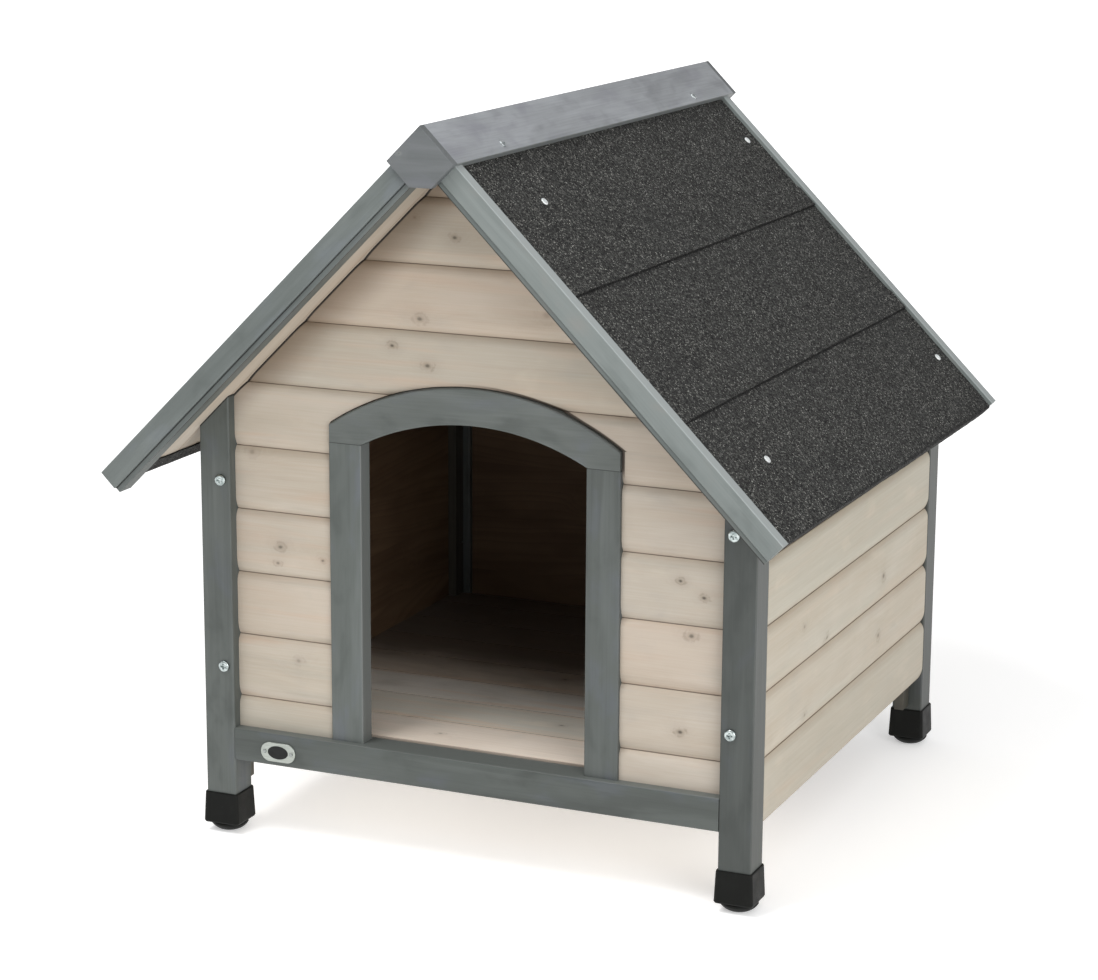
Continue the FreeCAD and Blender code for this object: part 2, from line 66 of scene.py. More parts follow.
scene.view_settings.view_transform = "Standard"
scene.view_settings.look = "None"


# ------------------------------------------------------------------ helpers
def lin(c):
    """sRGB 0..255 triple to linear."""
    out = []
    for v in c:
        v = v / 255.0
        out.append(v / 12.92 if v <= 0.04045 else ((v + 0.055) / 1.055) ** 2.4)
    return tuple(out)


def rgba(c):
    return (*lin(c), 1.0)


class Tree:
    """Small builder of node graphs: numbers and sockets mix freely."""

    def __init__(self, tree):
        self.t = tree
        self.x = 0

    def add(self, kind, **props):
        n = self.t.nodes.new(kind)
        self.x += 160
        n.location = (self.x, 0)
        for k, v in props.items():
            setattr(n, k, v)
        return n

    def put(self, socket, value):
        if value is None:
            return
        if isinstance(value, bpy.types.NodeSocket):
            self.t.links.new(value, socket)
        else:
            socket.default_value = value

    def math(self, op, a, b=None, c=None, clamp=False):
        n = self.add("ShaderNodeMath", operation=op, use_clamp=clamp)
        for i, v in enumerate((a, b, c)):
            self.put(n.inputs[i], v)
        return n.outputs[0]

    def vmath(self, op, a, b=None, scale=None):
        n = self.add("ShaderNodeVectorMath", operation=op)
        self.put(n.inputs[0], a)
        if b is not None:
            self.put(n.inputs[1], b)
        if scale is not None:
            self.put(n.inputs["Scale"], scale)
        return n.outputs["Value"] if op in ("DOT_PRODUCT", "LENGTH", "DISTANCE") else n.outputs[0]

    def xyz(self, x, y, z):
        n = self.add("ShaderNodeCombineXYZ")
        for i, v in enumerate((x, y, z)):
            self.put(n.inputs[i], v)
        return n.outputs[0]

    def split(self, v):
        n = self.add("ShaderNodeSeparateXYZ")
        self.put(n.inputs[0], v)
        return n.outputs[0], n.outputs[1], n.outputs[2]

    def noise(self, vec, scale=1.0, detail=2.0, rough=0.5, dist=0.0, w=None):
        n = self.add("ShaderNodeTexNoise")
        if w is not None:
            n.noise_dimensions = "4D"
            self.put(n.inputs["W"], w)
        self.put(n.inputs["Vector"], vec)
        self.put(n.inputs["Scale"], scale)
        self.put(n.inputs["Detail"], detail)
        self.put(n.inputs["Roughness"], rough)
        self.put(n.inputs["Distortion"], dist)
        return n.outputs[0]

    def voronoi(self, vec, scale, feature="F1", rand=1.0):
        n = self.add("ShaderNodeTexVoronoi", feature=feature)
        self.put(n.inputs["Vector"], vec)
        self.put(n.inputs["Scale"], scale)
        self.put(n.inputs["Randomness"], rand)
        return n

    def white(self, w):
        n = self.add("ShaderNodeTexWhiteNoise", noise_dimensions="1D")
        self.put(n.inputs["W"], w)
        return n.outputs["Value"], n.outputs["Color"]

    def smooth(self, v, a, b, lo=0.0, hi=1.0):
        n = self.add("ShaderNodeMapRange", interpolation_type="SMOOTHSTEP", clamp=True)
        self.put(n.inputs["Value"], v)
        self.put(n.inputs["From Min"], a)
        self.put(n.inputs["From Max"], b)
        self.put(n.inputs["To Min"], lo)
        self.put(n.inputs["To Max"], hi)
        return n.outputs[0]

    def remap(self, v, a, b, lo, hi):
        n = self.add("ShaderNodeMapRange", clamp=True)
        for k, x in (("Value", v), ("From Min", a), ("From Max", b), ("To Min", lo), ("To Max", hi)):
            self.put(n.inputs[k], x)
        return n.outputs[0]

    def mix(self, fac, a, b, blend="MIX"):
        n = self.add("ShaderNodeMix", data_type="RGBA", blend_type=blend, clamp_factor=True)
        self.put(n.inputs[0], fac)
        self.put(n.inputs[6], a)
        self.put(n.inputs[7], b)
        return n.outputs[2]

    def scale_color(self, color, value):
        n = self.add("ShaderNodeVectorMath", operation="SCALE")
        self.put(n.inputs[0], color)
        self.put(n.inputs["Scale"], value)
        return n.outputs[0]

    def ramp(self, v, stops, interp="LINEAR"):
        n = self.add("ShaderNodeValToRGB")
        r = n.color_ramp
        r.interpolation = interp
        while len(r.elements) > 1:
            r.elements.remove(r.elements[-1])
        for i, (p, c) in enumerate(stops):
            e = r.elements[0] if i == 0 else r.elements.new(p)
            e.position = p
            e.color = c
        self.put(n.inputs[0], v)
        return n.outputs[0]

    def bump(self, height, distance, strength=1.0, normal=None):
        n = self.add("ShaderNodeBump")
        n.inputs["Strength"].default_value = strength
        n.inputs["Distance"].default_value = distance
        self.put(n.inputs["Height"], height)
        if normal is not None:
            self.put(n.inputs["Normal"], normal)
        return n.outputs[0]


def material(name):
    mat = bpy.data.materials.new(name)
    mat.use_nodes = True
    mat.node_tree.nodes.clear()
    t = Tree(mat.node_tree)
    out = t.add("ShaderNodeOutputMaterial")
    bsdf = t.add("ShaderNodeBsdfPrincipled")
    mat.node_tree.links.new(bsdf.outputs[0], out.inputs[0])
    return mat, t, bsdf


def put_material(node_names, mat):
    for n in node_names if isinstance(node_names, (list, tuple)) else [node_names]:
        o = NODES[n]
        o.data.materials.clear()
        o.data.materials.append(mat)


# ------------------------------------------------------------------ wood field
def group(name, inputs, outputs):
    g = bpy.data.node_groups.new(name, "ShaderNodeTree")
    for n, kind in inputs:
        g.interface.new_socket(name=n, in_out="INPUT", socket_type=kind)
    for n, kind in outputs:
        g.interface.new_socket(name=n, in_out="OUTPUT", socket_type=kind)
    t = Tree(g)
    gi = t.add("NodeGroupInput")
    go = t.add("NodeGroupOutput")
    return g, t, gi.outputs, go.inputs


F, VEC, COL = "NodeSocketFloat", "NodeSocketVector", "NodeSocketColor"

# Growth rings cut by the faces of a board. P is (along the grain, across, deep) in
# metres, Board is a number per board, Phase adds the swing of the grain at knots.
wood_group, t, gi, go = group(
    "wood_field",
    [("P", VEC), ("Board", F), ("Phase", F), ("Spacing", F)],
    [("Rings", F), ("Fibre", F), ("Blotch", F), ("Streak", F), ("Smear", F), ("Cloud", F), ("Tone", F), ("Tint", F)])
rv, rc = t.white(gi["Board"])
rr, rg, rb = t.split(rc)
u, v, w = t.split(gi["P"])
shift = t.math("MULTIPLY", rv, 37.0)
us = t.math("ADD", u, shift)


def stretched(along, across, detail=2.0, rough=0.5, dist=0.0, extra=0.0):
    return t.noise(t.xyz(t.math("MULTIPLY_ADD", us, along, extra), t.math("MULTIPLY", v, across),
                         t.math("MULTIPLY", w, across)), 1.0, detail, rough, dist)


# slow wander of the stem, stronger across than along
wan = stretched(2.4, 6.0, 2.0, 0.55)
wan2 = stretched(9.0, 20.0, 1.0, 0.5)
vo = t.math("MULTIPLY_ADD", rr, 0.12, -0.060)
wo = t.math("MULTIPLY_ADD", rg, 0.045, 0.012)
tilt_v = t.math("MULTIPLY", u, t.math("MULTIPLY_ADD", rb, 0.20, -0.10))
tilt_w = t.math("MULTIPLY", u, t.math("MULTIPLY_ADD", rg, 0.14, -0.07))
vv = t.math("ADD", t.math("SUBTRACT", v, vo), tilt_v)
ww = t.math("ADD", t.math("ADD", w, wo), tilt_w)
vv = t.math("ADD", vv, t.math("MULTIPLY_ADD", wan, 0.040, -0.020))
rad = t.math("SQRT", t.math("ADD", t.math("MULTIPLY", vv, vv), t.math("MULTIPLY", ww, ww)))
rad = t.math("ADD", rad, t.math("MULTIPLY_ADD", wan2, 0.0050, -0.0025))
wide = t.noise(t.xyz(t.math("MULTIPLY", rad, 90.0), shift, 0.0), 1.0, 1.0, 0.5)
phase = t.math("DIVIDE", rad, gi["Spacing"])
phase = t.math("ADD", phase, t.math("MULTIPLY", wide, 3.4))
phase = t.math("ADD", phase, gi["Phase"])
fr = t.math("FRACT", phase)
late = t.math("POWER", fr, 2.2)
drop = t.smooth(fr, 0.86, 1.0, 1.0, 0.0)
t.put(go["Rings"], t.math("MULTIPLY", late, drop))
t.put(go["Fibre"], stretched(9.0, 560.0, 3.0, 0.6))
t.put(go["Blotch"], stretched(5.5, 20.0, 3.0, 0.55, 0.4))
t.put(go["Streak"], stretched(3.0, 120.0, 2.0, 0.6, 0.3))
t.put(go["Smear"], stretched(4.5, 46.0, 3.0, 0.6, 0.5, 11.0))
t.put(go["Cloud"], stretched(16.0, 30.0, 3.0, 0.55, 0.3, 5.0))
t.put(go["Tone"], rv)
t.put(go["Tint"], rg)

# One knot: a soft core with a darker rim and rings, and grain that swings round it.
knot_group, t, gi, go = group(
    "knot",
    [("P", VEC), ("U0", F), ("V0", F), ("Radius", F), ("Dark", F), ("Core0", F), ("Pin0", F), ("Phase0", F)],
    [("Core", F), ("Pin", F), ("Phase", F)])
u, v, w = t.split(gi["P"])
jig = t.noise(t.xyz(t.math("MULTIPLY", u, 260.0), t.math("MULTIPLY", v, 260.0), gi["U0"]), 1.0, 2.0, 0.6)
du = t.math("MULTIPLY", t.math("SUBTRACT", u, gi["U0"]), 0.72)
dv = t.math("SUBTRACT", v, gi["V0"])
d = t.math("SQRT", t.math("ADD", t.math("MULTIPLY", du, du), t.math("MULTIPLY", dv, dv)))
d = t.math("MULTIPLY", d, t.math("MULTIPLY_ADD", jig, 0.7, 0.65))
q = t.math("DIVIDE", d, gi["Radius"])
core = t.smooth(q, 1.10, 0.30)
rim = t.math("MULTIPLY", t.smooth(q, 1.45, 1.05), t.smooth(q, 0.70, 1.0))
arc = t.smooth(t.noise(t.xyz(t.math("MULTIPLY", u, 120.0), t.math("MULTIPLY", v, 120.0), gi["V0"]), 1.0, 2.0, 0.6), 0.42, 0.62)
body = t.math("ADD", t.math("MULTIPLY", core, 0.62), t.math("MULTIPLY", t.math("MULTIPLY", rim, arc), 0.55))
halo = t.math("MULTIPLY", t.smooth(q, 3.6, 0.4), 0.22)
t.put(go["Core"], t.math("MAXIMUM", gi["Core0"], t.math("MULTIPLY", t.math("ADD", body, halo), gi["Dark"])))
t.put(go["Pin"], t.math("MAXIMUM", gi["Pin0"], t.math("MULTIPLY", t.smooth(q, 0.50, 0.10), gi["Dark"])))
g2 = t.math("MULTIPLY", t.math("MULTIPLY", q, q), -0.16)
t.put(go["Phase"], t.math("ADD", gi["Phase0"], t.math("MULTIPLY", t.math("EXPONENT", g2), 2.6)))

X3, Y3, Z3 = (1, 0, 0), (0, 1, 0), (0, 0, 1)
SR, DR = (C45, 0, -C45), (-C45, 0, -C45)      # down the right slope, into it
SL, DL = (-C45, 0, -C45), (C45, 0, -C45)


def frame_uvw(t, U, V, W):
    co = t.vmath("ADD", t.add("ShaderNodeTexCoord").outputs["Object"], (0.0, 0.0, GROUND * MM))
    return co, t.xyz(t.vmath("DOT_PRODUCT", co, U), t.vmath("DOT_PRODUCT", co, V), t.vmath("DOT_PRODUCT", co, W))


def wood_base(t, P, board, knots, spacing):
    core = pin = phase = None
    for (ku, kv, kr, kd) in knots:
        k = t.add("ShaderNodeGroup")
        k.node_tree = knot_group
        t.put(k.inputs["P"], P)
        k.inputs["U0"].default_value = ku * MM
        k.inputs["V0"].default_value = kv * MM
        k.inputs["Radius"].default_value = kr * MM
        k.inputs["Dark"].default_value = kd
        t.put(k.inputs["Core0"], core)
        t.put(k.inputs["Pin0"], pin)
        t.put(k.inputs["Phase0"], phase)
        core, pin, phase = k.outputs["Core"], k.outputs["Pin"], k.outputs["Phase"]
    g = t.add("ShaderNodeGroup")
    g.node_tree = wood_group
    t.put(g.inputs["P"], P)
    t.put(g.inputs["Board"], board)
    t.put(g.inputs["Phase"], phase)
    g.inputs["Spacing"].default_value = spacing
    return g.outputs, core, pin


def pale_wood(name, U, V, W, seed, board_axis=None, board0=0.0, pitch=0.0657, side=None,
              knots=(), light=(205, 194, 177), deep=(186, 172, 150), warm=(207, 182, 158), cool=(182, 177, 161),
              inside=None, shade=None, under=None, left_roof_shadow=None, arch=None, rough=0.66, seams=True, line=0.0070, joint_color=(84, 70, 56),
              knot_color=(128, 114, 94), gain=(0.735, 0.74, 0.765)):
    """Thin pale glaze over softwood. inside and under are (direction, value): beyond
    inside lies the bare inner face of a wall, painted darker than bare wood as painted shade inside the house; beyond
    under lies a painted shadow
    in the joint below the roof. shade is (direction, from, to, amount): painted shade that deepens along a floor.
    grime is (amount, width): painted shadow of the roof overhang below the left half of the roof line.
    arch is (centre z, radius, end z, half width, low z): painted shadow in and beside the open joint along the
    right half of the arched head."""
    mat, t, bsdf = material(name)
    co, P = frame_uvw(t, U, V, W)
    if board_axis is not None:
        across = t.math("DIVIDE", t.math("SUBTRACT", t.vmath("DOT_PRODUCT", co, board_axis), board0), pitch)
        board = t.math("ADD", t.math("FLOOR", across), seed * 13.7 + 0.31)
        inrow = t.math("FRACT", across)
    else:
        board, inrow = seed * 13.7 + 0.31, None
    if side is not None:
        board = t.math("ADD", board, t.math("MULTIPLY", t.math("GREATER_THAN", t.vmath("DOT_PRODUCT", co, side), 0.0), 101.0))
    o, core, pin = wood_base(t, P, board, knots, 0.0058)
    # colour: an uneven glaze, thinner over the late wood
    tone = t.mix(t.math("MULTIPLY", t.smooth(o["Blotch"], 0.30, 0.72), 0.55), rgba(light), rgba(deep))
    tone = t.mix(t.math("MULTIPLY", t.smooth(o["Tint"], 0.55, 1.0), 0.40), tone, rgba(warm))
    tone = t.mix(t.math("MULTIPLY", t.smooth(o["Tone"], 0.50, 1.0), 0.55), tone, rgba(cool))
    tone = t.mix(t.math("MULTIPLY", t.smooth(o["Smear"], 0.50, 0.78), 0.60), tone, rgba(warm))
    tone = t.mix(t.math("MULTIPLY", t.smooth(o["Smear"], 0.46, 0.24), 0.50), tone, rgba(cool))
    tone = t.mix(t.math("MULTIPLY", t.smooth(o["Cloud"], 0.54, 0.78), 0.34), tone, rgba((178, 172, 160)))
    tone = t.mix(t.math("MULTIPLY", t.smooth(o["Cloud"], 0.44, 0.22), 0.30), tone, rgba((216, 204, 184)))
    rings = t.math("MULTIPLY", o["Rings"], t.smooth(o["Blotch"], 0.35, 0.75, 0.10, 1.0))
    tone = t.mix(t.math("MULTIPLY", rings, 0.12), tone, rgba((168, 142, 116)))
    tone = t.mix(t.math("MULTIPLY", t.smooth(o["Fibre"], 0.42, 0.78), 0.10), tone, rgba((156, 138, 118)))
    tone = t.mix(t.math("MULTIPLY", t.smooth(o["Fibre"], 0.50, 0.22), 0.10), tone, rgba((226, 219, 208)))
    if inrow is not None and seams:
        edge = t.math("MINIMUM", inrow, t.math("SUBTRACT", 1.0, inrow))
        # the glaze is thin and warm where the board turns into its joint
        e = t.smooth(edge, t.math("MULTIPLY_ADD", o["Cloud"], 0.14, 0.03), 0.0)
        tone = t.mix(t.math("MULTIPLY", e, 0.18), tone, rgba((198, 170, 142)))
        joint = t.math("MULTIPLY", t.smooth(edge, line, line * 0.35), 0.66)
    else:
        joint = None
    if core is not None:
        tone = t.mix(t.math("MULTIPLY", core, 0.62), tone, rgba(knot_color))
        tone = t.mix(t.math("MULTIPLY", pin, 0.80), tone, rgba((74, 66, 56)))
    # painted shade: the floor darkens going back into the house
    if shade is not None:
        direction, a, b, amount = shade
        where = t.math("ADD", t.vmath("DOT_PRODUCT", co, direction), t.math("MULTIPLY_ADD", o["Cloud"], 0.05, -0.025))
        tone = t.mix(t.smooth(where, a, b, 0.0, amount), tone, rgba((58, 44, 32)))
    if joint is not None:
        tone = t.mix(joint, tone, rgba(joint_color))
    # painted shadow: a dark band in and beside the open joint round the right half of the arch and down the right flank
    if arch is not None:
        zc, r, end_z, half, low = arch
        ax, ay, az_ = t.split(co)
        up_z = t.math("SUBTRACT", az_, zc * MM)
        beyond = t.math("SUBTRACT", t.math("SQRT", t.math("ADD", t.math("MULTIPLY", ax, ax), t.math("MULTIPLY", up_z, up_z))), r * MM)
        over = t.math("MULTIPLY", t.smooth(beyond, 0.0036, 0.0024), t.math("GREATER_THAN", az_, end_z * MM))
        over = t.math("MULTIPLY", over, t.smooth(ax, -0.030, 0.060))
        flank = t.math("MULTIPLY", t.smooth(t.math("SUBTRACT", ax, half * MM), 0.0030, 0.0020), t.math("LESS_THAN", az_, end_z * MM))
        flank = t.math("MULTIPLY", t.math("MULTIPLY", flank, t.math("GREATER_THAN", ax, 0.0)), t.smooth(az_, low * MM, (low + 16.0) * MM))
        tone = t.mix(t.math("MULTIPLY", t.math("MAXIMUM", over, flank), 0.90), tone, rgba((48, 36, 28)))
    # painted shadow: the boards darken just below the left half of the roof line, as under the overhang
    if left_roof_shadow is not None:
        amount, width = left_roof_shadow
        direction, value = under
        lift = t.math("SUBTRACT", value, t.vmath("DOT_PRODUCT", t.vmath("ABSOLUTE", co), direction))
        lift = t.math("ADD", lift, t.math("MULTIPLY_ADD", o["Cloud"], 0.012, -0.006))
        overhang_shadow_mask = t.math("MULTIPLY", t.smooth(lift, width, 0.0), t.smooth(t.split(co)[0], 0.045, -0.030))
        tone = t.mix(t.math("MULTIPLY", overhang_shadow_mask, amount), tone, rgba((112, 92, 70)))
    # painted shadow: near black over the top few mm of the boards below the roof underside
    if under is not None:
        direction, value = under
        gap = t.smooth(t.vmath("DOT_PRODUCT", t.vmath("ABSOLUTE", co), direction), value - 0.0026, value - 0.0014)
        tone = t.mix(t.math("MULTIPLY", gap, 0.96), tone, rgba((22, 17, 14)))
    # bare wood on the inner faces, painted darker than bare wood as painted shade inside the house
    if inside is not None:
        direction, value = inside
        inner = t.smooth(t.vmath("DOT_PRODUCT", co, direction), value - 0.0008, value + 0.0002)
        bare = t.mix(t.smooth(o["Blotch"], 0.3, 0.7), rgba((120, 96, 72)), rgba((98, 76, 56)))
        bare = t.mix(t.math("MULTIPLY", o["Rings"], 0.4), bare, rgba((80, 58, 40)))
        tone = t.mix(inner, tone, bare)
    t.put(bsdf.inputs["Base Color"], t.vmath("MULTIPLY", tone, gain))
    t.put(bsdf.inputs["Roughness"], t.math("ADD", t.math("MULTIPLY", o["Fibre"], 0.16), rough - 0.08))
    bsdf.inputs["Specular IOR Level"].default_value = 0.35
    h = t.math("ADD", t.math("MULTIPLY", o["Fibre"], 0.60), t.math("MULTIPLY", o["Rings"], 0.25))
    if core is not None:
        h = t.math("SUBTRACT", h, t.math("MULTIPLY", pin, 0.9))
    t.put(bsdf.inputs["Normal"], t.bump(h, 0.00014, 0.6))
    return mat


def grey_wood(name, U, V, W, seed, base=(92, 97, 93), light=(116, 121, 118), dark=(70, 75, 72), tint=(108, 114, 120),
              knots=(), edges=None, rough=0.50, split=None, wash=0.5, strips=(), gain=0.79):
    """Grey glaze over softwood, with the grain showing through and edges worn lighter.
    edges is a list of (direction, centre, half, direction, centre, half) in mm, strips
    a list of (direction, value, width, colour, amount): a line along one edge or over one face. The calls
    use it for painted highlights on lit faces, painted shadow lines in joints, and plain dark joints."""
    mat, t, bsdf = material(name)
    co, P = frame_uvw(t, U, V, W)
    board = seed * 17.3 + 0.57
    if split is not None:
        board = t.math("ADD", board, t.math("MULTIPLY", t.math("GREATER_THAN", t.vmath("DOT_PRODUCT", co, split), 0.0), 31.0))
    o, core, pin = wood_base(t, P, board, knots, 0.0040)
    tone = t.mix(t.math("MULTIPLY", t.smooth(o["Blotch"], 0.32, 0.72), wash), rgba(base), rgba(light))
    tone = t.mix(t.math("MULTIPLY", t.smooth(o["Cloud"], 0.50, 0.72), 0.75), tone, rgba(tint))
    tone = t.mix(t.math("MULTIPLY", t.smooth(o["Cloud"], 0.48, 0.26), 0.60), tone, rgba(dark))
    tone = t.mix(t.math("MULTIPLY", t.smooth(o["Smear"], 0.52, 0.74), 0.70), tone, rgba(light))
    tone = t.mix(t.math("MULTIPLY", t.smooth(o["Smear"], 0.46, 0.28), 0.50), tone, rgba(dark))
    rings = t.math("MULTIPLY", o["Rings"], t.smooth(o["Streak"], 0.35, 0.7, 0.2, 1.0))
    tone = t.mix(t.math("MULTIPLY", rings, 0.20), tone, rgba(dark))
    tone = t.mix(t.math("MULTIPLY", t.smooth(o["Fibre"], 0.45, 0.85), 0.22), tone, rgba(dark))
    tone = t.mix(t.math("MULTIPLY", t.smooth(o["Fibre"], 0.48, 0.20), 0.16), tone, rgba(light))
    if edges:
        rub = None
        for (da, ca, ha, db, cb, hb) in edges:
            a = t.math("SUBTRACT", ha * MM, t.math("ABSOLUTE", t.math("SUBTRACT", t.vmath("DOT_PRODUCT", co, da), ca * MM)))
            b = t.math("SUBTRACT", hb * MM, t.math("ABSOLUTE", t.math("SUBTRACT", t.vmath("DOT_PRODUCT", co, db), cb * MM)))
            away = t.math("MAXIMUM", a, b)
            r = t.smooth(away, t.math("MULTIPLY_ADD", o["Streak"], 0.0040, 0.0004), 0.0002)
            rub = r if rub is None else t.math("MAXIMUM", rub, r)
        rub = t.math("MULTIPLY", rub, t.smooth(o["Blotch"], 0.40, 0.70, 0.15, 1.0))
        tone = t.mix(t.math("MULTIPLY", rub, 0.34), tone, rgba(light))
    for (direction, value, width, color, amount) in strips:
        far = t.math("ABSOLUTE", t.math("SUBTRACT", t.vmath("DOT_PRODUCT", co, direction), value * MM))
        wob = t.math("MULTIPLY_ADD", o["Streak"], 0.9 * width * MM, 0.10 * width * MM)
        tone = t.mix(t.math("MULTIPLY", t.smooth(far, t.math("ADD", wob, 0.0003), wob), amount), tone, rgba(color))
    if core is not None:
        tone = t.mix(t.math("MULTIPLY", core, 0.50), tone, rgba((150, 154, 150)))
        tone = t.mix(t.math("MULTIPLY", pin, 0.60), tone, rgba((66, 68, 66)))
    t.put(bsdf.inputs["Base Color"], t.scale_color(tone, gain))
    t.put(bsdf.inputs["Roughness"], t.math("ADD", t.math("MULTIPLY", o["Fibre"], 0.22), rough - 0.11))
    bsdf.inputs["Specular IOR Level"].default_value = 0.40
    h = t.math("ADD", t.math("MULTIPLY", o["Fibre"], 0.6), t.math("MULTIPLY", o["Rings"], 0.35))
    t.put(bsdf.inputs["Normal"], t.bump(h, 0.00016, 0.7))
    return mat


# ------------------------------------------------------------------ wood pieces
SEAM0 = 0.1495
ARCH_JOINT_SHADOW = (217.3, 275.7, 445.1, 156.0, 414.0)
RIDGE_D = 753.0 * C45         # depth below the verge tops is RIDGE_D - (|x| + z) * C45, in mm
# the roof underside line; the boards just below it get a painted shadow line
UNDER_ROOF = ((C45, 0, C45), (RIDGE_D - 16.7) * MM)
FRONT_KNOTS_L = [(-214, 312, 4.6, 0.75), (-217, 295, 3.6, 0.6), (-166, 303, 3.2, 0.7), (-195, 195, 5.0, 0.40),
                 (-245, 407, 6.0, 0.35)]
FRONT_KNOTS_R = [(217, 325, 3.4, 1.0), (241, 311, 3.8, 1.0), (229, 272, 5.0, 0.8), (219, 175, 4.4, 1.0)]
GABLE_KNOTS = [(-19.5, 638, 4.4, 0.9), (-57, 556.5, 5.6, 0.75), (-87, 528, 4.0, 1.0), (-49, 511, 4.8, 0.9),
               (77, 570, 8.0, 0.30), (-62, 655, 3.6, 0.5)]
SIDE_KNOTS = [(137, 243, 6.6, 0.75), (-51, 224, 6.2, 0.6), (-126, 255, 4.6, 0.4), (124, 180.5, 6.0, 0.6),
              (-118.5, 162, 5.0, 0.45)]
mat = pale_wood("pale_front_left", X3, Z3, Y3, 3, Z3, SEAM0, knots=FRONT_KNOTS_L, inside=(Y3, -0.2445), under=UNDER_ROOF,
                left_roof_shadow=(0.50, 0.030))
put_material("front_boards_left", mat)
mat = pale_wood("pale_front_right", X3, Z3, Y3, 5, Z3, SEAM0, knots=FRONT_KNOTS_R, inside=(Y3, -0.2445), under=UNDER_ROOF,
                arch=ARCH_JOINT_SHADOW, gain=(0.675, 0.68, 0.71))
put_material("front_boards_right", mat)
mat = pale_wood("pale_front_gable", X3, Z3, Y3, 8, Z3, SEAM0, knots=GABLE_KNOTS, inside=(Y3, -0.2445), under=UNDER_ROOF,
                arch=ARCH_JOINT_SHADOW, left_roof_shadow=(0.74, 0.046))
put_material("front_gable_boards", mat)
mat = pale_wood("pale_back", X3, Z3, (0, -1, 0), 11, Z3, SEAM0, under=UNDER_ROOF,
                knots=[(-120, 241, 5.0, 0.8), (64, 309, 4.4, 0.9), (171, 190, 5.4, 0.6), (-35, 402, 4.2, 0.8)],
                inside=((0, -1, 0), -0.3065))
put_material("back_boards", mat)
mat = pale_wood("pale_back_gable", X3, Z3, (0, -1, 0), 13, Z3, SEAM0, under=UNDER_ROOF,
                knots=[(52, 512, 5.0, 0.8), (-88, 560, 4.4, 0.6), (12, 630, 4.0, 0.9)], inside=((0, -1, 0), -0.3065))
put_material("back_gable_boards", mat)
mat = pale_wood("pale_side_right", Y3, Z3, X3, 17, Z3, SEAM0, knots=SIDE_KNOTS, inside=((-1, 0, 0), -0.2828),
                light=(200, 192, 176), cool=(184, 180, 164), warm=(202, 186, 166),
                line=0.0050, joint_color=(110, 98, 84), gain=(0.79, 0.79, 0.80))
put_material("right_wall_boards", mat)
mat = pale_wood("pale_side_left", Y3, Z3, (-1, 0, 0), 19, Z3, SEAM0,
                knots=[(-150, 252, 5.0, 0.8), (35, 322, 4.4, 0.7), (180, 176, 5.6, 0.6), (-60, 130, 4.0, 0.9)],
                inside=(X3, -0.2828), light=(200, 192, 176), cool=(184, 180, 164), warm=(202, 186, 166),
                line=0.0050, joint_color=(110, 98, 84), gain=(0.79, 0.79, 0.80))
put_material("left_wall_boards", mat)
# painted light and shade: the high gain paints the floor lighter than the wood so it is bright by the door, and painted
# shade deepens inside
mat = pale_wood("pale_floor", X3, Y3, Z3, 23, Y3, -0.237, pitch=0.070,
                knots=[(-62, -205, 4.4, 0.5), (40, -130, 4.0, 0.7), (-20, 20, 5.0, 0.8)],
                light=(206, 200, 190), deep=(192, 184, 172), shade=(Y3, -0.110, 0.090, 0.90), gain=(1.42, 1.44, 1.48),
                line=0.016, joint_color=(34, 26, 20))
put_material("floor_boards", mat)
mat = pale_wood("pale_roof_right", SR, Y3, DR, 29, Y3, -0.351, pitch=0.0865, light=(208, 196, 178))
put_material("roof_boards_right", mat)
mat = pale_wood("pale_roof_left", SL, Y3, DL, 31, Y3, -0.351, pitch=0.0865, light=(208, 196, 178))
put_material("roof_boards_left", mat)
mat = pale_wood("bare_slope_right", SR, DR, Y3, 37, light=(170, 144, 112), deep=(150, 122, 92))
put_material(["front_gable_battens", "back_gable_battens"], mat)
mat = pale_wood("bare_cross", Y3, X3, Z3, 41, light=(170, 144, 112), deep=(150, 122, 92))
put_material(["roof_battens_right", "roof_battens_left", "floor_bearers"], mat)

PXM, FYM, BYM = 281.0, -254.0, 316.0
POSTS = {"front_left": (-1, FYM, (84, 89, 86), (102, 107, 104), 43), "front_right": (1, FYM, (76, 81, 78), (96, 101, 98), 44),
         "back_left": (-1, BYM, (82, 87, 84), (100, 105, 102), 45), "back_right": (1, BYM, (82, 86, 82), (100, 104, 101), 46)}
# painted shade: the right posts share the grey paint but get a lower gain (0.55, 0.52 against 0.77), darker as they are
# lit; the dark line where each post meets the roof underside is a painted shadow
for n, (sx, cy, base, lit, seed) in POSTS.items():
    mat = grey_wood("grey_post_" + n, Z3, X3, Y3, seed, base=base, light=lit, dark=(64, 69, 66), tint=(92, 97, 102),
                    edges=[(X3, sx * PXM, 17.0, Y3, cy, 17.0)], gain={"front_right": 0.55, "back_right": 0.52}.get(n, 0.77),
                    strips=[(X3, sx * 298.0, 1.2, (106, 109, 105), 0.5), ((sx * C45, 0, C45), 515.4, 1.5, (24, 25, 24), 0.95)])
    put_material("post_" + n, mat)
# painted light: the line at z 118 covers the rail's top face and colours it lighter, as if lit
for n, cy, seed in (("front", FYM, 51), ("back", BYM, 52)):
    mat = grey_wood("grey_rail_" + n, X3, Z3, Y3, seed, base=(78, 83, 80), light=(96, 101, 98), dark=(62, 66, 63),
                    tint=(88, 93, 98), edges=[(Z3, 101.0, 17.0, Y3, cy, 17.0)],
                    strips=[(Z3, 118.0, 0.3, (112, 117, 114), 0.9)])
    put_material(n + "_base_rail", mat)
